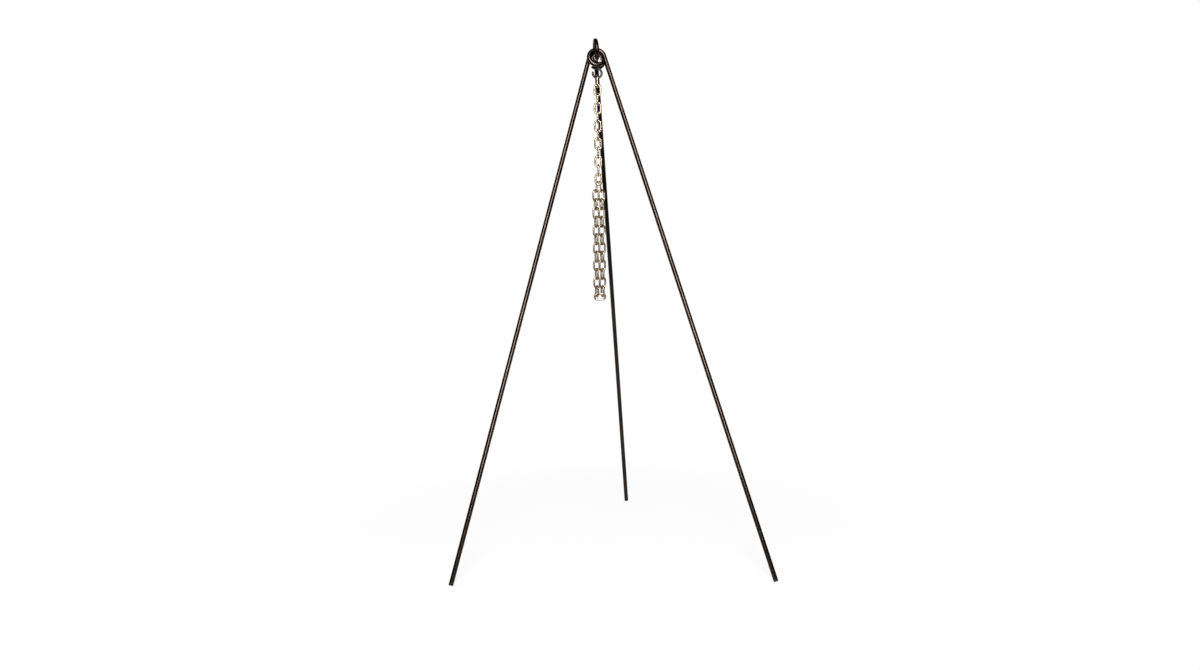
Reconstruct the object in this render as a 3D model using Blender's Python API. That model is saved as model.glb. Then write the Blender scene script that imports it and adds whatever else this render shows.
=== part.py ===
# Campfire cooking tripod with an S-hook and a hanging chain. Metres, +Z up.
# Three round steel rods lean together. The top of each rod is bent into an eye, and the back
# leg's eye passes through the eyes of the two front legs. An S-hook hangs on the back leg's
# eye and carries the chain. The tail of the chain is hooked back into the chain itself, so
# its lower part hangs as two runs side by side.
# +X points from the left leg to the right leg, and +Y from the front to the back leg.

import math

import bpy
from mathutils import Matrix, Vector

NAME = "cooking_tripod"
GAP = 0.0003                    # left between pieces that touch

# Legs
ROD = 0.0127                    # rod diameter
LEG_LENGTH = 1.524              # foot to the top of the eye, along the rod
LEFT_LEG_MORE = -0.009          # the rods are cut and bent by hand, so they differ a little
RIGHT_LEG_MORE = 0.006
FRONT_EYE_ROOM = 0.0048         # what a front eye's inside has beyond two rods
BACK_EYE_ROOM = 0.0105          # and the back leg's eye
EYE_SWEEP_DEG = 290.0           # how far a rod is bent round
BACK_LEAN_DEG = 17.7            # from upright
BACK_AZIMUTH_DEG = 79.0
BACK_EYE_AZIMUTH_DEG = 95.2     # the plane of the back leg's eye, which carries the rest
LEFT_AZIMUTH_DEG = 223.2
RIGHT_AZIMUTH_DEG = 321.4
LEFT_TWIST_DEG = -15.2          # turn of the left eye about its own rod
RIGHT_TWIST_DEG = -2.1
EYE_STEPS = 26
ROD_ROUND_STEPS = 4             # between the quarters of the rod's roundness

# How the front eyes hang on the back eye, to both sides of the hook
LEFT_EYE_ASIDE = 0.0013
RIGHT_EYE_ASIDE = 0.0005
LEFT_EYE_PLAY = 0.0033          # from the hook's wire to the rod of the eye
RIGHT_EYE_PLAY = -0.0024
LEFT_EYE_DROP = 0.0055          # how far an eye's middle hangs below the rod that it hangs on
RIGHT_EYE_DROP = 0.0003

# Where the front legs turn when the tripod is folded: behind the back eye's middle, and above
LEFT_PIVOT = (0.0101, -0.0069)
RIGHT_PIVOT = (-0.0067, -0.0165)

# Upper hook
HOOK_SEAT_DEG = -5.5            # where it hangs on the back eye, from straight down
HOOK_WIRE = 0.0062
HOOK_LOOP = 0.0125              # radius of a loop, to the middle of the wire
HOOK_HEIGHT = 0.0698            # overall
HOOK_TIP_DEG = -20.0            # where the open end of a loop stops
HOOK_STEPS = 12
WIRE_ROUND_STEPS = 2

# Chain
LINK_WIRE = 0.0055
LINK_INSIDE_LENGTH = 0.0250
LINK_INSIDE_WIDTH = 0.0110
SINGLE_LINKS = 12               # from the upper hook down to the link that holds both runs
RUN_LINKS = 13                  # places in each of the two runs
RUN_TURN_DEG = 24.0             # the runs hang with their links turned by this much
RUN_SLACK = 0.0010              # play where that turn starts
TURN_SEAT_DEG = 30.0            # where the runs bear in the ends of the turn link
TURN_ROOM = 0.0013              # play there, because the runs pass through it askew
BOW_STEPS = 6

# Lower hook, the size of a link. Its wire and a link's wire fill the width of a link.
TAIL_WIRE = 0.0046
TAIL_LOOP = 0.0065
TAIL_TIP_DEG = 15.0
TAIL_STEPS = 8

FRONT_EYE = (3 * ROD + FRONT_EYE_ROOM) / 2      # radius to the middle of the rod
BACK_EYE = (3 * ROD + BACK_EYE_ROOM) / 2
BOW_RADIUS = (LINK_INSIDE_WIDTH + LINK_WIRE) / 2
LINK_SPAN = LINK_INSIDE_LENGTH + LINK_WIRE      # between the middles of a link's two bows
BOWS_APART = LINK_SPAN - 2 * BOW_RADIUS
BEARING = LINK_WIRE + GAP                       # between the middles of two wires that bear
UP = Vector((0, 0, 1))
RIGHT = Vector((1, 0, 0))


def clear_scene():
    for old in list(bpy.data.objects):
        bpy.data.objects.remove(old, do_unlink=True)


def new_collection(name):
    collection = bpy.data.collections.new(name)
    bpy.context.scene.collection.children.link(collection)
    return collection


def make_material(name, colour, roughness, metallic):
    material = bpy.data.materials.new(name)
    material.use_nodes = True
    shader = material.node_tree.nodes["Principled BSDF"]
    shader.inputs["Base Color"].default_value = (*colour, 1)
    shader.inputs["Roughness"].default_value = roughness
    shader.inputs["Metallic"].default_value = metallic
    return material


def wire_curve(name, points, diameter, round_steps, material, closed=False):
    """A round wire along the points, with flat ends, or a ring when it is closed."""
    curve = bpy.data.curves.new(name, "CURVE")
    curve.dimensions = "3D"
    curve.bevel_depth = diameter / 2
    curve.bevel_resolution = round_steps
    curve.use_fill_caps = not closed
    spline = curve.splines.new("POLY")
    spline.points.add(len(points) - 1)
    for spot, point in zip(spline.points, points):
        spot.co = (*point, 1)
    spline.use_cyclic_u = closed
    curve.materials.append(material)
    return curve


def place(name, curve, matrix, collection):
    piece = bpy.data.objects.new(name, curve)
    piece.matrix_world = matrix
    collection.objects.link(piece)
    return piece


def arc(centre, along, across, radius, start_deg, end_deg, steps):
    """Points round an arc, measured from the direction along towards the direction across."""
    points = []
    for step in range(steps + 1):
        angle = math.radians(start_deg + (end_deg - start_deg) * step / steps)
        points.append(centre + radius * (math.cos(angle) * along + math.sin(angle) * across))
    return points


# Legs. A leg is the middle of its eye, the direction down its rod, the direction from the
# eye's middle square to the rod, the eye's radius and the length of the straight rod.

def new_leg(middle, directions, eye, more=0.0):
    return middle, *directions, eye, LEG_LENGTH + more - eye - ROD / 2


def leg_directions(azimuth_deg, lean_deg, side, twist_deg=0.0):
    azimuth, lean = math.radians(azimuth_deg), math.radians(lean_deg)
    level = Vector((math.cos(azimuth), math.sin(azimuth), 0))
    down = level * math.sin(lean) - UP * math.cos(lean)
    out = (side - down * side.dot(down)).normalized()
    out = Matrix.Rotation(math.radians(twist_deg), 3, down) @ out
    return down, out


def foot_of(leg):
    middle, down, out, eye, straight = leg
    return middle + out * eye + down * straight


def lowest_point(leg):
    down = leg[1]
    return foot_of(leg).z - ROD / 2 * math.hypot(down.x, down.y)


def leaning_leg(middle, azimuth_deg, side, twist_deg, more):
    """The leg whose foot just meets the ground at z = 0, found by halving the range of its lean."""
    low, high = 2.0, 60.0
    for _ in range(50):
        lean = (low + high) / 2
        directions = leg_directions(azimuth_deg, lean, side, twist_deg)
        leg = new_leg(middle, directions, FRONT_EYE, more)
        if lowest_point(leg) < 0:
            low = lean
        else:
            high = lean
    return leg


def set_up_legs():
    """The three legs, on the ground and centred over the origin, by name."""
    back, right = eye_frame()
    directions = leg_directions(BACK_AZIMUTH_DEG, BACK_LEAN_DEG, back)
    standing = new_leg(Vector((0, 0, 0)), directions, BACK_EYE)
    head = UP * -lowest_point(standing)
    hook_back = BACK_EYE * math.sin(math.radians(HOOK_SEAT_DEG))
    spacing = (ROD + HOOK_WIRE) / 2

    def hang_in_back_eye(aside, behind, drop):
        """The middle of a front eye that hangs on the lower part of the back leg's eye."""
        rod_height = -math.sqrt(BACK_EYE ** 2 - behind ** 2)
        return head + right * aside + back * behind + UP * (rod_height - drop)

    left_eye = hang_in_back_eye(
        LEFT_EYE_ASIDE, hook_back + spacing + LEFT_EYE_PLAY, LEFT_EYE_DROP)
    right_eye = hang_in_back_eye(
        RIGHT_EYE_ASIDE, hook_back - spacing - RIGHT_EYE_PLAY, RIGHT_EYE_DROP)
    legs = {
        "back_leg": new_leg(head, directions, BACK_EYE),
        "left_leg": leaning_leg(left_eye, LEFT_AZIMUTH_DEG, -right, LEFT_TWIST_DEG, LEFT_LEG_MORE),
        "right_leg": leaning_leg(
            right_eye, RIGHT_AZIMUTH_DEG, right, RIGHT_TWIST_DEG, RIGHT_LEG_MORE),
    }
    shift = -middle_of_feet(legs)
    return {name: (leg[0] + shift, *leg[1:]) for name, leg in legs.items()}


def eye_frame():
    """Level directions along the plane of the back leg's eye, to the back, and square to it."""
    azimuth = math.radians(BACK_EYE_AZIMUTH_DEG)
    back = Vector((math.cos(azimuth), math.sin(azimuth), 0))
    return back, Vector((back.y, -back.x, 0))


def middle_of_feet(legs):
    """The middle, in plan, of the box round the three feet."""
    middle = Vector((0, 0, 0))
    for axis in (0, 1):
        low, high = [], []
        for leg in legs.values():
            reach = ROD / 2 * math.sqrt(1 - leg[1][axis] ** 2)
            low.append(foot_of(leg)[axis] - reach)
            high.append(foot_of(leg)[axis] + reach)
        middle[axis] = (min(low) + max(high)) / 2
    return middle


def leg_pivots(legs):
    """Where each leg turns. The two front legs turn about the wire of the back leg's eye."""
    back, _ = eye_frame()
    head = legs["back_leg"][0]
    pivots = {"back_leg": head}
    for name, (behind, above) in (("left_leg", LEFT_PIVOT), ("right_leg", RIGHT_PIVOT)):
        pivots[name] = head + back * behind + UP * above
    return pivots


def leg_points(leg):
    middle, down, out, eye, _ = leg
    return [foot_of(leg)] + arc(middle, out, -down, eye, 0, EYE_SWEEP_DEG, EYE_STEPS)


def make_leg(name, leg, pivot, material, collection):
    points = [point - pivot for point in leg_points(leg)]
    curve = wire_curve(name, points, ROD, ROD_ROUND_STEPS, material)
    return place(name, curve, Matrix.Translation(pivot), collection)


# Hooks and links are drawn in their own X-Z plane, hanging down from the wire that carries
# them, which passes through their origin.

def s_hook_points(loop, span, tip_deg, top, steps):
    """An S from the tip of its upper loop, at the right, to the tip of its lower loop."""
    apart = span - 2 * loop
    crossing = math.degrees(math.asin(2 * loop / apart))
    upper = UP * (top - loop)
    lower = upper - UP * apart
    points = arc(upper, RIGHT, UP, loop, tip_deg, 180 + crossing, steps)
    points += arc(lower, RIGHT, UP, loop, crossing, tip_deg - 180, steps)
    return points


def link_points(top):
    """The middle of a link's wire: two half round bows, with straight sides between them."""
    upper = UP * (top - BOW_RADIUS)
    lower = upper - UP * BOWS_APART
    points = arc(upper, RIGHT, UP, BOW_RADIUS, 0, 180, BOW_STEPS)
    points += arc(lower, RIGHT, UP, BOW_RADIUS, 180, 360, BOW_STEPS)
    return points


def hang(pivot, turn_deg=0.0, lean_deg=0.0):
    """Places a hanging piece: turned about its own length, then swung sideways."""
    swing = Matrix.Rotation(math.radians(lean_deg), 4, "Y")
    turn = Matrix.Rotation(math.radians(turn_deg), 4, "Z")
    return Matrix.Translation(pivot) @ swing @ turn


def link_turn(place_in_chain):
    """Every other link is turned edge on, starting with the first."""
    return 90.0 * (place_in_chain % 2)


def hook_seat(leg):
    """The point of the back leg's eye, in the middle of its rod, that the hook bears on."""
    middle, down, out, eye, _ = leg
    normal = down.cross(out)
    lowest = (normal * normal.z - UP).normalized()
    back, _ = eye_frame()
    aft = normal.cross(lowest)
    if aft.dot(back) < 0:
        aft = -aft
    seat = math.radians(HOOK_SEAT_DEG)
    return middle + eye * (math.cos(seat) * lowest + math.sin(seat) * aft)


def make_upper_hook(leg, material, collection):
    """Hangs the hook on the back eye and returns the middle of the wire at its lowest point."""
    pivot = hook_seat(leg)
    top = (ROD + HOOK_WIRE) / 2 + GAP
    span = HOOK_HEIGHT - HOOK_WIRE
    points = s_hook_points(HOOK_LOOP, span, HOOK_TIP_DEG, top, HOOK_STEPS)
    curve = wire_curve("upper_hook", points, HOOK_WIRE, WIRE_ROUND_STEPS, material)
    place("upper_hook", curve, hang(pivot, BACK_EYE_AZIMUTH_DEG - 90), collection)
    return pivot + UP * (top - span)


def make_single_run(pivot, link, material, collection):
    """Hangs the single links and returns the middle of the lowest one's lower bow."""
    first_bearing = (HOOK_WIRE + LINK_WIRE) / 2 + GAP
    points = link_points(first_bearing)
    first = wire_curve("first_link", points, LINK_WIRE, WIRE_ROUND_STEPS, material, True)
    place("link_01", first, hang(pivot, link_turn(1)), collection)
    pivot = pivot + UP * (first_bearing - LINK_SPAN)
    for number in range(2, SINGLE_LINKS + 1):
        place(f"link_{number:02d}", link, hang(pivot, link_turn(number)), collection)
        pivot = pivot + UP * (BEARING - LINK_SPAN)
    return pivot


def turn_seat():
    """Where a run bears in the turn link: the distance from the middle of its bow."""
    return BOW_RADIUS - BEARING - TURN_ROOM


def run_offset():
    """Half the distance between the two runs."""
    return BOWS_APART / 2 + turn_seat() * math.cos(math.radians(TURN_SEAT_DEG))


def make_first_places(pivot, link, material, collection):
    """Hangs a link and the lower hook in the last single link and returns where both end.

    The two wires side by side fill the width of the link, so they sit where its bow ends."""
    number = SINGLE_LINKS + 1
    top = pivot.z + BOW_RADIUS
    wall = LINK_INSIDE_WIDTH / 2 - GAP
    aside = wall - LINK_WIRE / 2
    lean = math.asin((run_offset() - aside) / LINK_SPAN)
    along = Vector((-math.sin(lean), 0, -math.cos(lean)))
    head = Vector((pivot.x - aside, pivot.y, top))
    matrix = hang(head + along * BEARING, link_turn(number), math.degrees(lean))
    place(f"run_a_{number}", link, matrix, collection)
    foot = head + along * LINK_SPAN

    tail_bearing = (TAIL_WIRE + LINK_WIRE) / 2 + GAP
    aside = wall - TAIL_WIRE / 2
    lean = math.asin((run_offset() - aside) / LINK_SPAN)
    along = Vector((math.sin(lean), 0, -math.cos(lean)))
    tail_foot = Vector((pivot.x + run_offset(), pivot.y, foot.z + BEARING - tail_bearing))
    head = tail_foot - along * LINK_SPAN
    points = s_hook_points(TAIL_LOOP, LINK_SPAN, TAIL_TIP_DEG, tail_bearing, TAIL_STEPS)
    curve = wire_curve("tail_hook", points, TAIL_WIRE, WIRE_ROUND_STEPS, material)
    matrix = hang(head + along * tail_bearing, link_turn(number), -math.degrees(lean))
    place("tail_hook", curve, matrix, collection)
    return Vector((pivot.x, pivot.y, foot.z + RUN_SLACK))


def make_runs(pivot, link, material, collection):
    """Hangs the two runs and returns the point midway between their lowest bows."""
    pivot = make_first_places(pivot, link, material, collection)
    for number in range(SINGLE_LINKS + 2, SINGLE_LINKS + RUN_LINKS + 1):
        turn = link_turn(number) + RUN_TURN_DEG
        for run, side in (("a", -run_offset()), ("b", run_offset())):
            place(f"run_{run}_{number}", link, hang(pivot + RIGHT * side, turn), collection)
        pivot = pivot + UP * (BEARING - LINK_SPAN)
    return pivot


def make_turn_link(pivot, material, collection):
    """The lowest link lies level, and both runs bear in its ends."""
    middle = -UP * turn_seat() * math.sin(math.radians(TURN_SEAT_DEG))
    level = Matrix.Rotation(math.radians(90), 4, "Y")
    points = [middle + level @ (point + UP * LINK_SPAN / 2) for point in link_points(0)]
    curve = wire_curve("turn_link", points, LINK_WIRE, WIRE_ROUND_STEPS, material, True)
    place("turn_link", curve, Matrix.Translation(pivot), collection)


def main():
    clear_scene()
    parts = new_collection(NAME)
    paint = make_material("dark_paint", (0.020, 0.012, 0.009), 0.32, 0.2)
    zinc = make_material("zinc_plate", (0.78, 0.75, 0.69), 0.28, 1.0)
    legs = set_up_legs()
    for name, pivot in leg_pivots(legs).items():
        make_leg(name, legs[name], pivot, paint, parts)
    pivot = make_upper_hook(legs["back_leg"], paint, parts)
    link = wire_curve("link", link_points(BEARING), LINK_WIRE, WIRE_ROUND_STEPS, zinc, True)
    pivot = make_single_run(pivot, link, zinc, parts)
    pivot = make_runs(pivot, link, zinc, parts)
    make_turn_link(pivot, zinc, parts)


main()
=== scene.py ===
import math

import bmesh
import bpy
from mathutils import Matrix, Vector


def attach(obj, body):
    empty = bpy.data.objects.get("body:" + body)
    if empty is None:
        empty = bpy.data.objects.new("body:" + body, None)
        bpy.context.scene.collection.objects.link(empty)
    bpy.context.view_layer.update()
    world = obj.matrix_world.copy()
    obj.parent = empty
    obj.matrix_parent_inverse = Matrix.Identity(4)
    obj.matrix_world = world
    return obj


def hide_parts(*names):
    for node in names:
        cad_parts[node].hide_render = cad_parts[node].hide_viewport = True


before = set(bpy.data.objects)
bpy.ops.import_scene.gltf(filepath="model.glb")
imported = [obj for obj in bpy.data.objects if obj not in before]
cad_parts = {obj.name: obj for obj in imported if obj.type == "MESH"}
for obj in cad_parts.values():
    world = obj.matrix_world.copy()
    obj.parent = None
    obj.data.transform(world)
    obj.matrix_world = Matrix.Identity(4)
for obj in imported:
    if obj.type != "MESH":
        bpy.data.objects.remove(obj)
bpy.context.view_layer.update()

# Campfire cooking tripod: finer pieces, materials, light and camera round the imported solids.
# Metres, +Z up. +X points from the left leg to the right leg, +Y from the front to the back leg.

GAP = 0.0003                    # left between pieces that touch
UP = Vector((0, 0, 1))
RIGHT = Vector((1, 0, 0))

# Legs, as in the solids
ROD = 0.0127                    # rod diameter
LEG_LENGTH = 1.524              # foot to the top of the eye, along the rod
LEFT_LEG_MORE = -0.009          # the rods are cut and bent by hand, so they differ a little
RIGHT_LEG_MORE = 0.006
FRONT_EYE_ROOM = 0.0048         # what a front eye's inside has beyond two rods
BACK_EYE_ROOM = 0.0105          # and the back leg's eye
EYE_SWEEP_DEG = 290.0           # how far a rod is bent round
BACK_LEAN_DEG = 17.7            # from upright
BACK_AZIMUTH_DEG = 79.0
BACK_EYE_AZIMUTH_DEG = 95.2     # the plane of the back leg's eye, which carries the rest
LEFT_AZIMUTH_DEG = 223.2
RIGHT_AZIMUTH_DEG = 321.4
LEFT_TWIST_DEG = -15.2          # turn of the left eye about its own rod
RIGHT_TWIST_DEG = -2.1
LEAN_RANGE_DEG = (2.0, 60.0)    # searched for the lean of a front leg
LEAN_HALVINGS = 50

# How the front eyes hang on the back eye, to both sides of the hook
LEFT_EYE_ASIDE = 0.0013
RIGHT_EYE_ASIDE = 0.0005
LEFT_EYE_PLAY = 0.0033          # from the hook's wire to the rod of the eye
RIGHT_EYE_PLAY = -0.0024
LEFT_EYE_DROP = 0.0055          # how far an eye's middle hangs below the rod that it hangs on
RIGHT_EYE_DROP = 0.0003

# Hooks and chain, as in the solids
HOOK_SEAT_DEG = -5.5            # where it hangs on the back eye, from straight down
HOOK_WIRE = 0.0062
HOOK_LOOP = 0.0125              # radius of a loop, to the middle of the wire
HOOK_HEIGHT = 0.0698            # overall
HOOK_TIP_DEG = -20.0            # where the open end of a loop stops
LINK_WIRE = 0.0055
LINK_INSIDE_LENGTH = 0.0250
LINK_INSIDE_WIDTH = 0.0110
SINGLE_LINKS = 12               # from the upper hook down to the link that holds both runs
RUN_LINKS = 13                  # places in each of the two runs
RUN_TURN_DEG = 24.0             # the runs hang with their links turned by this much
RUN_SLACK = 0.0010              # play where that turn starts
TURN_SEAT_DEG = 30.0            # where the runs bear in the ends of the turn link
TURN_ROOM = 0.0013              # play there, because the runs pass through it askew
TAIL_WIRE = 0.0046              # the tail hook's, which is the size of a link
TAIL_LOOP = 0.0065
TAIL_TIP_DEG = 15.0

FRONT_EYE = (3 * ROD + FRONT_EYE_ROOM) / 2      # radius to the middle of the rod
BACK_EYE = (3 * ROD + BACK_EYE_ROOM) / 2
BOW_RADIUS = (LINK_INSIDE_WIDTH + LINK_WIRE) / 2
LINK_SPAN = LINK_INSIDE_LENGTH + LINK_WIRE      # between the middles of a link's two bows
BOWS_APART = LINK_SPAN - 2 * BOW_RADIUS
BEARING = LINK_WIRE + GAP                       # between the middles of two wires that bear

# Detail that the solids leave out
ROD_SIDES = 36
WIRE_SIDES = 20
EYE_STEPS = 110
SHAFT_STEPS = 60
HOOK_STEPS = 44                 # round each loop
HOOK_MIDDLE_STEPS = 6           # between the loops
BOW_STEPS = 18
SIDE_STEPS = 14
SHARP_DEG = 35                  # edges that turn by more than this stay crisp
CHAMFER = 0.0007                # on a rod's cut ends
WIRE_CHAMFER = 0.0005
WELD_SWELL = 0.08               # how much thicker a link is at its weld
WELD_LENGTH = 0.0017            # from its middle, along the wire
LEG_WEAR = 0.55                 # how far a rod is worn, at most, in its eye and near its foot
EYE_RUB_REACH = 0.004           # from another leg's eye, where that wear ends
FOOT_SCUFF_REACH = 0.03         # and the same from the foot
HOOK_RUB = 0.35                 # how far a hook is worn where it bears
HOOK_RUB_HEIGHT = 0.0015        # and over how much of its height

# Colours and finish. A noise has its scale per metre, its detail and its roughness. A span
# is where in a noise an effect begins and where it is full. A bump has its strength and height.
WHITE = (1, 1, 1, 1)
NOISE_SPAN = (0.3, 0.7)         # what a noise mostly covers
PAINT_DARK = (0.041, 0.027, 0.0185, 1)
PAINT_PALE = (0.064, 0.043, 0.0305, 1)
PAINT_DUST = (0.100, 0.072, 0.0535, 1)
PAINT_ROUGHNESS = (0.20, 0.28)
COAT = 0.35
COAT_ROUGHNESS = 0.22
BARE_STEEL = (0.22, 0.195, 0.17, 1)
PAINT_BROAD_NOISE = (14.0, 4.0, 0.6)
PAINT_FINE_NOISE = (420.0, 3.0, 0.6)
PAINT_SPECK_NOISE = (1500.0, 2.0, 0.5)
PAINT_PEEL_NOISE = (240.0, 2.0, 0.5)
PALE_SPAN = (0.35, 0.65)
DUST_SPAN = (0.60, 0.80)
DUST_SHARE = 0.30
BARE_SPAN = (0.55, 0.80)        # share of wear, where the paint begins to go and is gone
BARE_RAGGED = 0.28              # how far the noise moves that edge
BARE_ROUGHER = 0.05
PEEL_SPECKS = 0.35              # share of the specks in the paint's bumps
PAINT_BUMP = (0.15, 0.0003)
ZINC_PALE = (0.63, 0.535, 0.39, 1)
ZINC_DULL = (0.48, 0.385, 0.255, 1)
ZINC_BROWN = (0.235, 0.155, 0.085, 1)
ZINC_METALLIC = 0.97
ZINC_ROUGHNESS = (0.23, 0.34)
ZINC_BROAD_NOISE = (110.0, 3.0, 0.6)
ZINC_FINE_NOISE = (1100.0, 3.0, 0.6)
STAIN_SPAN = (0.52, 0.74)
STAIN_SHARE = 0.28
WORN_BROWN = 0.55               # how brown the zinc is where it is welded or worn
WORN_ROUGHER = 0.15
ZINC_BUMP = (0.12, 0.0002)

# Camera, from the photograph's own perspective
FOCAL_PX = 1043.5               # for a picture 1200 wide
PICTURE_WIDTH = 1200
SENSOR_WIDTH = 36.0
CAMERA_AT = Vector((-0.02874, -3.04206, 0.93695))
PITCH, YAW, ROLL = 0.1073, 0.00061, -0.01229
SIGHT_END = 100.0

# Studio
LAMP_AT = Vector((0.0, -4.0, 2.6))
LAMP_AIM = Vector((0.0, 0.0, 1.0))
LAMP_WIDTH, LAMP_HEIGHT, LAMP_POWER = 1.0, 3.2, 180.0
ROOM_LIGHT = 0.75               # what the room gives from all round
ROOM_SHINE = 0.04               # and what metal shows of it, apart from the backdrop and ground
BACKDROP_FADE = (0.80, 0.96)    # share of +Y in a direction, where the backdrop begins and is full
GROUND_FADE = (-0.10, -0.24)    # the same for the ground, as a share of +Z
GROUND_FRONT = (-0.30, 0.10)    # and where it begins from the front, as a share of +Y
FLOOR_COLOUR = (0.85, 0.85, 0.85, 1)
FLOOR_ROUGHNESS = 0.9
FLOOR_SPECULAR = 0.1
FLOOR_WHITE = 0.76              # share of plain white in the floor near the object
FLOOR_SHINE = 0.20              # how bright that white is where metal shows it
FLOOR_RADIUS = 1.2
FLOOR_SEGMENTS = 96
FLOOR_FADE = (0.50, 1.15)       # distances from the middle, where the floor turns to plain white


# Legs. A leg is the middle of its eye, the direction down its rod, the direction from the
# eye's middle square to the rod, the eye's radius and the length of the straight rod.

def new_leg(middle, directions, eye, more=0.0):
    return middle, *directions, eye, LEG_LENGTH + more - eye - ROD / 2


def leg_directions(azimuth_deg, lean_deg, side, twist_deg=0.0):
    azimuth, lean = math.radians(azimuth_deg), math.radians(lean_deg)
    level = Vector((math.cos(azimuth), math.sin(azimuth), 0))
    down = level * math.sin(lean) - UP * math.cos(lean)
    out = (side - down * side.dot(down)).normalized()
    out = Matrix.Rotation(math.radians(twist_deg), 3, down) @ out
    return down, out


def foot_of(leg):
    middle, down, out, eye, straight = leg
    return middle + out * eye + down * straight


def lowest_point(leg):
    down = leg[1]
    return foot_of(leg).z - ROD / 2 * math.hypot(down.x, down.y)


def leaning_leg(middle, azimuth_deg, side, twist_deg, more):
    """The front leg whose foot just meets the ground, found by halving the range of its lean."""
    low, high = LEAN_RANGE_DEG
    for _ in range(LEAN_HALVINGS):
        lean = (low + high) / 2
        directions = leg_directions(azimuth_deg, lean, side, twist_deg)
        leg = new_leg(middle, directions, FRONT_EYE, more)
        if lowest_point(leg) < 0:
            low = lean
        else:
            high = lean
    return leg


def eye_frame():
    """Level directions along the plane of the back leg's eye, to the back, and square to it."""
    azimuth = math.radians(BACK_EYE_AZIMUTH_DEG)
    back = Vector((math.cos(azimuth), math.sin(azimuth), 0))
    return back, Vector((back.y, -back.x, 0))


def set_up_legs():
    """The three legs, on the ground and centred over the origin, by name."""
    back, right = eye_frame()
    directions = leg_directions(BACK_AZIMUTH_DEG, BACK_LEAN_DEG, back)
    standing = new_leg(Vector((0, 0, 0)), directions, BACK_EYE)
    head = UP * -lowest_point(standing)
    hook_back = BACK_EYE * math.sin(math.radians(HOOK_SEAT_DEG))
    spacing = (ROD + HOOK_WIRE) / 2

    def hang_in_back_eye(aside, behind, drop):
        """The middle of a front eye that hangs on the lower part of the back leg's eye."""
        rod_height = -math.sqrt(BACK_EYE ** 2 - behind ** 2)
        return head + right * aside + back * behind + UP * (rod_height - drop)

    left_eye = hang_in_back_eye(
        LEFT_EYE_ASIDE, hook_back + spacing + LEFT_EYE_PLAY, LEFT_EYE_DROP)
    right_eye = hang_in_back_eye(
        RIGHT_EYE_ASIDE, hook_back - spacing - RIGHT_EYE_PLAY, RIGHT_EYE_DROP)
    legs = {
        "back_leg": new_leg(head, directions, BACK_EYE),
        "left_leg": leaning_leg(
            left_eye, LEFT_AZIMUTH_DEG, -right, LEFT_TWIST_DEG, LEFT_LEG_MORE),
        "right_leg": leaning_leg(
            right_eye, RIGHT_AZIMUTH_DEG, right, RIGHT_TWIST_DEG, RIGHT_LEG_MORE),
    }
    shift = -middle_of_feet(legs)
    return {name: (leg[0] + shift, *leg[1:]) for name, leg in legs.items()}


def middle_of_feet(legs):
    """The middle, in plan, of the box round the three feet."""
    middle = Vector((0, 0, 0))
    for axis in (0, 1):
        low, high = [], []
        for leg in legs.values():
            reach = ROD / 2 * math.sqrt(1 - leg[1][axis] ** 2)
            low.append(foot_of(leg)[axis] - reach)
            high.append(foot_of(leg)[axis] + reach)
        middle[axis] = (min(low) + max(high)) / 2
    return middle


# Paths

def arc(centre, along, across, radius, start_deg, end_deg, steps):
    """Points round an arc, measured from the direction along towards the direction across."""
    points = []
    for step in range(steps + 1):
        angle = math.radians(start_deg + (end_deg - start_deg) * step / steps)
        points.append(centre + radius * (math.cos(angle) * along + math.sin(angle) * across))
    return points


def line(start, end, steps):
    """The points between two ends, without the ends."""
    return [start.lerp(end, step / steps) for step in range(1, steps)]


# Tubes

def turning_frames(points, closed):
    """A direction square to the path at each point, that turns no more than the path does."""
    count = len(points)
    tangents = []
    for i, point in enumerate(points):
        before = points[i - 1] if i or closed else point
        after = points[(i + 1) % count] if i < count - 1 or closed else point
        tangents.append((after - before).normalized())
    side = tangents[0].orthogonal().normalized()
    sides = []
    for tangent in tangents:
        side = (side - tangent * side.dot(tangent)).normalized()
        sides.append(side)
    if closed:
        last = (sides[-1] - tangents[0] * sides[-1].dot(tangents[0])).normalized()
        slip = math.atan2(last.cross(sides[0]).dot(tangents[0]), last.dot(sides[0]))
        sides = [
            Matrix.Rotation(slip * i / count, 3, tangents[i]) @ side
            for i, side in enumerate(sides)]
    return tangents, sides


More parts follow.
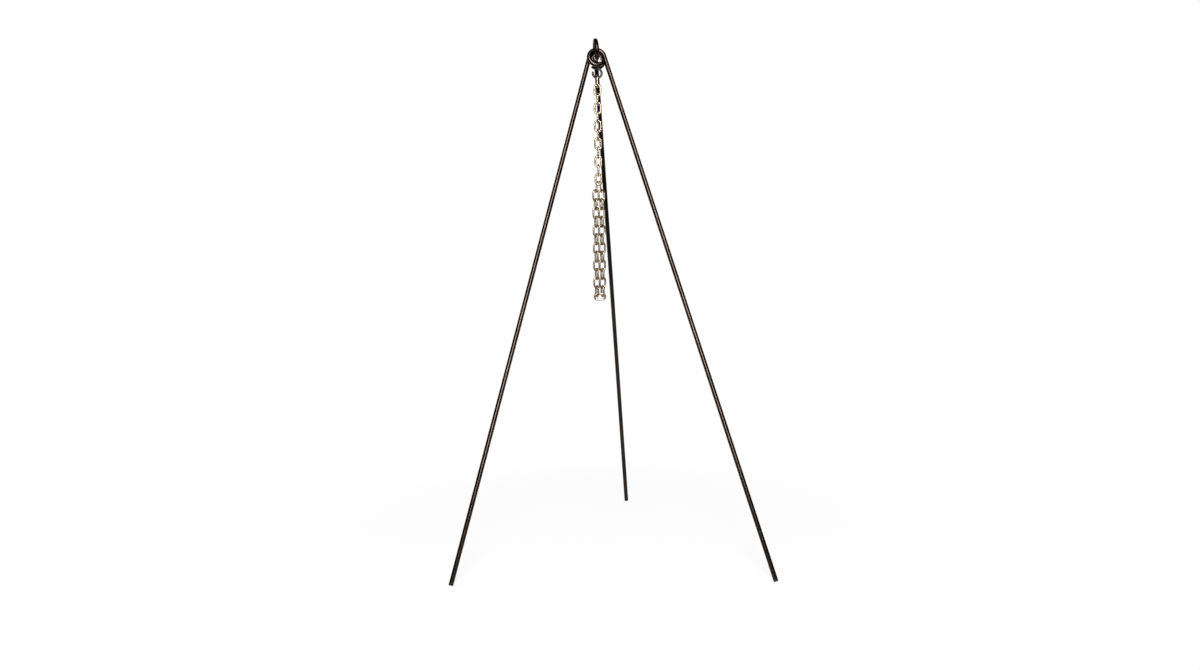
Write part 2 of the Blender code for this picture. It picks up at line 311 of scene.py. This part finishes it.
def tube_mesh(name, points, radii, sides_count, marks, closed=False, chamfer=0.0):
    """A round tube along the points. marks says how worn or welded it is at each point.

    With a chamfer it has cut ends, whose edges are broken and bare.
    """
    if chamfer:
        first = (points[1] - points[0]).normalized()
        last = (points[-1] - points[-2]).normalized()
        points = [points[0], points[0] + first * chamfer] + points[1:-1] + [
            points[-1] - last * chamfer, points[-1]]
        radii = [radii[0] - chamfer, radii[0]] + radii[1:-1] + [radii[-1], radii[-1] - chamfer]
        marks = [1.0, marks[0]] + marks[1:-1] + [marks[-1], 1.0]
    tangents, sides = turning_frames(points, closed)
    mesh = bmesh.new()
    rings = []
    for point, tangent, side, radius in zip(points, tangents, sides, radii):
        other = tangent.cross(side)
        ring = []
        for step in range(sides_count):
            angle = 2 * math.pi * step / sides_count
            ring.append(mesh.verts.new(
                point + radius * (math.cos(angle) * side + math.sin(angle) * other)))
        rings.append(ring)
    pairs = list(zip(rings, rings[1:]))
    if closed:
        pairs.append((rings[-1], rings[0]))
    for low, high in pairs:
        for i in range(sides_count):
            j = (i + 1) % sides_count
            mesh.faces.new((low[i], low[j], high[j], high[i]))
    if not closed:
        mesh.faces.new(list(reversed(rings[0])))
        mesh.faces.new(rings[-1])
    for face in mesh.faces:
        face.smooth = True
    data = bpy.data.meshes.new(name)
    mesh.to_mesh(data)
    mesh.free()
    data.set_sharp_from_angle(angle=math.radians(SHARP_DEG))
    layer = data.attributes.new("wear", "FLOAT", "POINT")
    layer.data.foreach_set("value", [mark for mark in marks for _ in range(sides_count)])
    return data


def add_piece(name, data, material, matrix, node, body):
    """Puts a mesh in place of one solid. Links that share a mesh share its material."""
    piece = bpy.data.objects.new(name, data)
    piece.matrix_world = matrix
    bpy.context.scene.collection.objects.link(piece)
    if not data.materials:
        data.materials.append(material)
    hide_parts(node)
    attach(piece, body)


# Materials

class Nodes:
    """Builds the nodes of a material or a world with few words."""

    def __init__(self, owner):
        owner.use_nodes = True
        self.tree = owner.node_tree

    def feed(self, node, key, value):
        if isinstance(value, bpy.types.NodeSocket):
            self.tree.links.new(value, node.inputs[key])
        else:
            node.inputs[key].default_value = value

    def fill(self, node, **inputs):
        for key, value in inputs.items():
            self.feed(node, key.replace("_", " "), value)

    def add(self, kind, settings=None, **inputs):
        node = self.tree.nodes.new(kind)
        for key, value in (settings or {}).items():
            setattr(node, key, value)
        self.fill(node, **inputs)
        return node

    def join(self, kind, settings, keys, values, output=0):
        """A node whose inputs are told apart by their number."""
        node = self.add(kind, settings)
        for key, value in zip(keys, values):
            self.feed(node, key, value)
        return node.outputs[output]

    def math(self, operation, *values):
        return self.join("ShaderNodeMath", {"operation": operation}, (0, 1), values)

    def mix(self, share, *colours):
        return self.join(
            "ShaderNodeMix", {"data_type": "RGBA"}, (0, 6, 7), (share, *colours), output=2)

    def blend(self, share, *numbers):
        return self.join("ShaderNodeMix", {"data_type": "FLOAT"}, (0, 2, 3), (share, *numbers))

    def noise(self, where, scale, detail, roughness):
        return self.add(
            "ShaderNodeTexNoise", Vector=where, Scale=scale, Detail=detail,
            Roughness=roughness).outputs["Fac"]

    def ramp(self, value, low, high, start=0.0, end=1.0, kind="SMOOTHSTEP"):
        return self.add(
            "ShaderNodeMapRange", {"interpolation_type": kind}, Value=value, From_Min=low,
            From_Max=high, To_Min=start, To_Max=end).outputs["Result"]

    def bump(self, height, strength, distance):
        return self.add(
            "ShaderNodeBump", Height=height, Strength=strength,
            Distance=distance).outputs["Normal"]

    def wear(self):
        return self.add("ShaderNodeAttribute", {"attribute_name": "wear"}).outputs["Fac"]


def paint_material():
    """Thin dark brown-black paint on steel rod, glossy, worn to the metal where the eyes rub."""
    material = bpy.data.materials.new("dark_paint")
    n = Nodes(material)
    where = n.add("ShaderNodeTexCoord").outputs["Object"]
    broad = n.noise(where, *PAINT_BROAD_NOISE)
    fine = n.noise(where, *PAINT_FINE_NOISE)
    speck = n.noise(where, *PAINT_SPECK_NOISE)
    ragged = n.math("ADD", n.wear(), n.ramp(fine, *NOISE_SPAN, -BARE_RAGGED, BARE_RAGGED))
    bare = n.ramp(ragged, *BARE_SPAN)
    paint = n.mix(n.ramp(broad, *PALE_SPAN), PAINT_DARK, PAINT_PALE)
    dusty = n.mix(n.ramp(speck, *DUST_SPAN, 0.0, DUST_SHARE), paint, PAINT_DUST)
    peel = n.math(
        "ADD", n.noise(where, *PAINT_PEEL_NOISE), n.math("MULTIPLY", speck, PEEL_SPECKS))
    n.fill(
        n.tree.nodes["Principled BSDF"],
        Base_Color=n.mix(bare, dusty, BARE_STEEL),
        Metallic=1.0,
        Roughness=n.math(
            "ADD", n.ramp(fine, *NOISE_SPAN, *PAINT_ROUGHNESS),
            n.ramp(bare, 0.0, 1.0, 0.0, BARE_ROUGHER)),
        Coat_Weight=COAT,
        Coat_Roughness=COAT_ROUGHNESS,
        Normal=n.bump(peel, *PAINT_BUMP))
    return material


def zinc_material():
    """Zinc plate: bright and a little creamy, browner in patches and where welded or worn."""
    material = bpy.data.materials.new("zinc_plate")
    n = Nodes(material)
    where = n.add("ShaderNodeTexCoord").outputs["Object"]
    chance = n.add("ShaderNodeObjectInfo").outputs["Random"]
    place = n.join("ShaderNodeVectorMath", {"operation": "ADD"}, (0, 1), (where, chance))
    broad = n.noise(place, *ZINC_BROAD_NOISE)
    fine = n.noise(place, *ZINC_FINE_NOISE)
    wear = n.wear()
    bright = n.mix(n.ramp(broad, *NOISE_SPAN), ZINC_PALE, ZINC_DULL)
    stained = n.ramp(broad, *STAIN_SPAN, 0.0, STAIN_SHARE)
    tint = n.math("ADD", stained, n.math("MULTIPLY", wear, WORN_BROWN))
    n.fill(
        n.tree.nodes["Principled BSDF"],
        Base_Color=n.mix(tint, bright, ZINC_BROWN),
        Metallic=ZINC_METALLIC,
        Roughness=n.math(
            "ADD", n.ramp(fine, *NOISE_SPAN, *ZINC_ROUGHNESS),
            n.math("MULTIPLY", wear, WORN_ROUGHER)),
        Normal=n.bump(n.math("ADD", fine, broad), *ZINC_BUMP))
    return material


# Rods

def leg_path(leg):
    """The middle of the rod from its foot to the end of its eye."""
    middle, down, out, eye, _ = leg
    foot = foot_of(leg)
    start = middle + out * eye
    ring = arc(middle, out, -down, eye, 0, EYE_SWEEP_DEG, EYE_STEPS)
    return [foot] + line(foot, start, SHAFT_STEPS) + ring


def make_leg(name, leg, others, material):
    """A leg's rod, worn where it comes near the others, which are points of the other eyes."""
    points = leg_path(leg)
    radii = [ROD / 2] * len(points)
    marks = []
    for point in points:
        nearest = min((point - other).length for other in others)
        rub = max(0.0, 1.0 - (nearest - ROD) / EYE_RUB_REACH) * LEG_WEAR
        scuff = max(0.0, 1.0 - (point - points[0]).length / FOOT_SCUFF_REACH) * LEG_WEAR
        marks.append(max(rub, scuff))
    data = tube_mesh(name, points, radii, ROD_SIDES, marks, chamfer=CHAMFER)
    add_piece(name + "_rod", data, material, Matrix.Identity(4), name, name)


def make_legs(legs, material):
    eyes = {name: leg_path(leg)[-EYE_STEPS:] for name, leg in legs.items()}
    for name, leg in legs.items():
        others = [point for other, points in eyes.items() if other != name for point in points]
        make_leg(name, leg, others, material)


# Hooks and links, hanging down from the wire that carries them, through their origin

def hang(pivot, turn_deg=0.0, lean_deg=0.0):
    """Places a hanging piece: turned about its own length, then swung sideways."""
    swing = Matrix.Rotation(math.radians(lean_deg), 4, "Y")
    turn = Matrix.Rotation(math.radians(turn_deg), 4, "Z")
    return Matrix.Translation(pivot) @ swing @ turn


def link_turn(place_in_chain):
    """Every other link is turned edge on, starting with the first."""
    return 90.0 * (place_in_chain % 2)


def s_hook_points(loop, span, tip_deg, top):
    """An S from the tip of its upper loop, at the right, to the tip of its lower loop."""
    apart = span - 2 * loop
    crossing = math.degrees(math.asin(2 * loop / apart))
    upper = UP * (top - loop)
    lower = upper - UP * apart
    first = arc(upper, RIGHT, UP, loop, tip_deg, 180 + crossing, HOOK_STEPS)
    second = arc(lower, RIGHT, UP, loop, crossing, tip_deg - 180, HOOK_STEPS)
    return first + line(first[-1], second[0], HOOK_MIDDLE_STEPS) + second


def link_mesh(name, top):
    """A link with its weld in the middle of one straight side."""
    upper = UP * (top - BOW_RADIUS)
    lower = upper - UP * BOWS_APART
    points = arc(upper, RIGHT, UP, BOW_RADIUS, 0, 180, BOW_STEPS)
    points += line(points[-1], lower - RIGHT * BOW_RADIUS, SIDE_STEPS)
    points += arc(lower, RIGHT, UP, BOW_RADIUS, 180, 360, BOW_STEPS)
    points += line(points[-1], points[0], SIDE_STEPS)
    weld = (upper + lower) / 2 - RIGHT * BOW_RADIUS
    radii, marks = [], []
    for point in points:
        near = math.exp(-((point - weld).length / WELD_LENGTH) ** 2)
        radii.append(LINK_WIRE / 2 * (1 + WELD_SWELL * near))
        marks.append(near)
    return tube_mesh(name, points, radii, WIRE_SIDES, marks, closed=True)


def hook_mesh(name, points, wire):
    """An open hook, worn where its two loops bear."""
    radii = [wire / 2] * len(points)
    high, low = (limit(point.z for point in points) for limit in (max, min))
    marks = []
    for point in points:
        bearing = min(high - point.z, point.z - low)
        marks.append(HOOK_RUB * math.exp(-(bearing / HOOK_RUB_HEIGHT) ** 2))
    return tube_mesh(name, points, radii, WIRE_SIDES, marks, chamfer=WIRE_CHAMFER)


def hook_seat(leg):
    """The point of the back leg's eye, in the middle of its rod, that the hook bears on."""
    middle, down, out, eye, _ = leg
    normal = down.cross(out)
    lowest = (normal * normal.z - UP).normalized()
    back, _ = eye_frame()
    aft = normal.cross(lowest)
    if aft.dot(back) < 0:
        aft = -aft
    seat = math.radians(HOOK_SEAT_DEG)
    return middle + eye * (math.cos(seat) * lowest + math.sin(seat) * aft)


def make_upper_hook(leg, material):
    """Hangs the hook on the back eye and returns the middle of the wire at its lowest point."""
    pivot = hook_seat(leg)
    top = (ROD + HOOK_WIRE) / 2 + GAP
    span = HOOK_HEIGHT - HOOK_WIRE
    data = hook_mesh("upper_hook", s_hook_points(HOOK_LOOP, span, HOOK_TIP_DEG, top), HOOK_WIRE)
    matrix = hang(pivot, BACK_EYE_AZIMUTH_DEG - 90)
    add_piece("upper_hook_wire", data, material, matrix, "upper_hook", "upper_hook")
    return pivot + UP * (top - span)


def make_single_run(pivot, link, material):
    """Hangs the single links and returns the middle of the lowest one's lower bow."""
    first_bearing = (HOOK_WIRE + LINK_WIRE) / 2 + GAP
    first = link_mesh("first_link", first_bearing)
    matrix = hang(pivot, link_turn(1))
    add_piece("ring_01", first, material, matrix, "link_01", "link_01")
    pivot = pivot + UP * (first_bearing - LINK_SPAN)
    for number in range(2, SINGLE_LINKS + 1):
        node = f"link_{number:02d}"
        matrix = hang(pivot, link_turn(number))
        add_piece(f"ring_{number:02d}", link, material, matrix, node, node)
        pivot = pivot + UP * (BEARING - LINK_SPAN)
    return pivot


def turn_seat():
    """Where a run bears in the turn link: the distance from the middle of its bow."""
    return BOW_RADIUS - BEARING - TURN_ROOM


def run_offset():
    """Half the distance between the two runs."""
    return BOWS_APART / 2 + turn_seat() * math.cos(math.radians(TURN_SEAT_DEG))


def make_first_places(pivot, link, material):
    """Hangs a link and the tail hook in the last single link and returns where both end.

    The two wires side by side fill the width of the link, so they sit where its bow ends.
    """
    number = SINGLE_LINKS + 1
    body = f"pair_{number}"
    top = pivot.z + BOW_RADIUS
    wall = LINK_INSIDE_WIDTH / 2 - GAP
    aside = wall - LINK_WIRE / 2
    lean = math.asin((run_offset() - aside) / LINK_SPAN)
    along = Vector((-math.sin(lean), 0, -math.cos(lean)))
    head = Vector((pivot.x - aside, pivot.y, top))
    matrix = hang(head + along * BEARING, link_turn(number), math.degrees(lean))
    add_piece(f"ring_a_{number}", link, material, matrix, f"run_a_{number}", body)
    foot = head + along * LINK_SPAN

    tail_bearing = (TAIL_WIRE + LINK_WIRE) / 2 + GAP
    aside = wall - TAIL_WIRE / 2
    lean = math.asin((run_offset() - aside) / LINK_SPAN)
    along = Vector((math.sin(lean), 0, -math.cos(lean)))
    tail_foot = Vector((pivot.x + run_offset(), pivot.y, foot.z + BEARING - tail_bearing))
    head = tail_foot - along * LINK_SPAN
    points = s_hook_points(TAIL_LOOP, LINK_SPAN, TAIL_TIP_DEG, tail_bearing)
    data = hook_mesh("tail_hook", points, TAIL_WIRE)
    matrix = hang(head + along * tail_bearing, link_turn(number), -math.degrees(lean))
    add_piece("tail_hook_wire", data, material, matrix, "tail_hook", body)
    return Vector((pivot.x, pivot.y, foot.z + RUN_SLACK))


def make_runs(pivot, link, material):
    """Hangs the two runs and returns the point midway between their lowest bows."""
    pivot = make_first_places(pivot, link, material)
    for number in range(SINGLE_LINKS + 2, SINGLE_LINKS + RUN_LINKS + 1):
        turn = link_turn(number) + RUN_TURN_DEG
        body = f"pair_{number}"
        for run, side in (("a", -run_offset()), ("b", run_offset())):
            matrix = hang(pivot + RIGHT * side, turn)
            node = f"run_{run}_{number}"
            add_piece(f"ring_{run}_{number}", link, material, matrix, node, body)
        pivot = pivot + UP * (BEARING - LINK_SPAN)
    return pivot


def make_turn_link(pivot, link, material):
    """The lowest link lies level, and both runs bear in its ends."""
    middle = pivot - UP * turn_seat() * math.sin(math.radians(TURN_SEAT_DEG))
    level = Matrix.Rotation(math.radians(90), 4, "Y")
    centred = Matrix.Translation(UP * (LINK_SPAN / 2 - BEARING))
    matrix = Matrix.Translation(middle) @ level @ centred
    add_piece("ring_turn", link, material, matrix, "turn_link", "turn_link")


# Studio

def camera_axes():
    """The directions to the right of the picture, to its top and into it."""
    ahead = Vector((
        math.sin(YAW) * math.cos(PITCH), math.cos(YAW) * math.cos(PITCH), -math.sin(PITCH)))
    level = Vector((math.cos(YAW), -math.sin(YAW), 0))
    above = level.cross(ahead)
    right = math.cos(ROLL) * level + math.sin(ROLL) * above
    return right, -math.sin(ROLL) * level + math.cos(ROLL) * above, ahead


def make_camera():
    data = bpy.data.cameras.new("camera")
    data.sensor_width = SENSOR_WIDTH
    data.lens = FOCAL_PX * SENSOR_WIDTH / PICTURE_WIDTH
    data.clip_end = SIGHT_END
    camera = bpy.data.objects.new("camera", data)
    right, above, ahead = camera_axes()
    camera.matrix_world = Matrix.Translation(CAMERA_AT) @ Matrix(
        (right, above, -ahead)).transposed().to_4x4()
    bpy.context.scene.collection.objects.link(camera)
    bpy.context.scene.camera = camera


def make_lamp():
    """A tall panel in front, whose reflection is the light stripe on the rods."""
    data = bpy.data.lights.new("front_panel", "AREA")
    data.shape = "RECTANGLE"
    data.size, data.size_y = LAMP_WIDTH, LAMP_HEIGHT
    data.energy = LAMP_POWER
    lamp = bpy.data.objects.new("front_panel", data)
    lamp.location = LAMP_AT
    lamp.rotation_euler = (LAMP_AIM - LAMP_AT).to_track_quat("-Z", "Y").to_euler()
    bpy.context.scene.collection.objects.link(lamp)


def make_world():
    """A white backdrop and ground behind, which metal shows too, in a room that is dim in front."""
    world = bpy.data.worlds.new("studio")
    n = Nodes(world)
    rays = n.add("ShaderNodeLightPath").outputs
    direction = n.add("ShaderNodeTexCoord").outputs["Generated"]
    split = n.add("ShaderNodeSeparateXYZ", Vector=direction).outputs
    backdrop = n.ramp(split["Y"], *BACKDROP_FADE, kind="LINEAR")
    ground = n.math(
        "MULTIPLY", n.ramp(split["Z"], *GROUND_FADE, kind="LINEAR"),
        n.ramp(split["Y"], *GROUND_FRONT, kind="LINEAR"))
    shine = n.ramp(
        n.math("MAXIMUM", backdrop, ground), 0.0, 1.0, ROOM_SHINE, 1.0, kind="LINEAR")
    direct = n.math("MAXIMUM", rays["Is Camera Ray"], rays["Is Transmission Ray"])
    indirect = n.blend(rays["Is Glossy Ray"], ROOM_LIGHT, shine)
    n.fill(n.tree.nodes["Background"], Color=WHITE, Strength=n.blend(direct, indirect, 1.0))
    bpy.context.scene.world = world


def floor_material():
    """White where it meets the backdrop, and shaded by the object near its feet."""
    material = bpy.data.materials.new("floor")
    n = Nodes(material)
    shader = n.tree.nodes["Principled BSDF"]
    n.fill(
        shader, Base_Color=FLOOR_COLOUR, Roughness=FLOOR_ROUGHNESS,
        Specular_IOR_Level=FLOOR_SPECULAR)
    rays = n.add("ShaderNodeLightPath").outputs
    direct = n.math("MAXIMUM", rays["Is Camera Ray"], n.math(
        "MAXIMUM", rays["Is Glossy Ray"], rays["Is Transmission Ray"]))
    where = n.add("ShaderNodeNewGeometry").outputs["Position"]
    away = n.add("ShaderNodeVectorMath", {"operation": "LENGTH"}, Vector=where).outputs["Value"]
    share = n.ramp(away, *FLOOR_FADE, FLOOR_WHITE, 1.0)
    glow = n.ramp(rays["Is Glossy Ray"], 0.0, 1.0, 1.0, FLOOR_SHINE)
    white = n.add("ShaderNodeEmission", Color=WHITE, Strength=glow).outputs[0]
    mixed = n.join(
        "ShaderNodeMixShader", {}, (0, 1, 2),
        (n.math("MULTIPLY", direct, share), shader.outputs[0], white))
    n.fill(n.tree.nodes["Material Output"], Surface=mixed)
    return material


def make_floor():
    mesh = bmesh.new()
    bmesh.ops.create_circle(mesh, cap_ends=True, segments=FLOOR_SEGMENTS, radius=FLOOR_RADIUS)
    data = bpy.data.meshes.new("floor")
    mesh.to_mesh(data)
    mesh.free()
    data.materials.append(floor_material())
    floor = bpy.data.objects.new("floor", data)
    bpy.context.scene.collection.objects.link(floor)


def main():
    bpy.context.scene.view_settings.view_transform = "Standard"
    make_camera()
    make_world()
    make_floor()
    make_lamp()
    paint, zinc = paint_material(), zinc_material()
    legs = set_up_legs()
    make_legs(legs, paint)
    pivot = make_upper_hook(legs["back_leg"], paint)
    link = link_mesh("link", BEARING)
    pivot = make_single_run(pivot, link, zinc)
    pivot = make_runs(pivot, link, zinc)
    make_turn_link(pivot, link, zinc)


main()
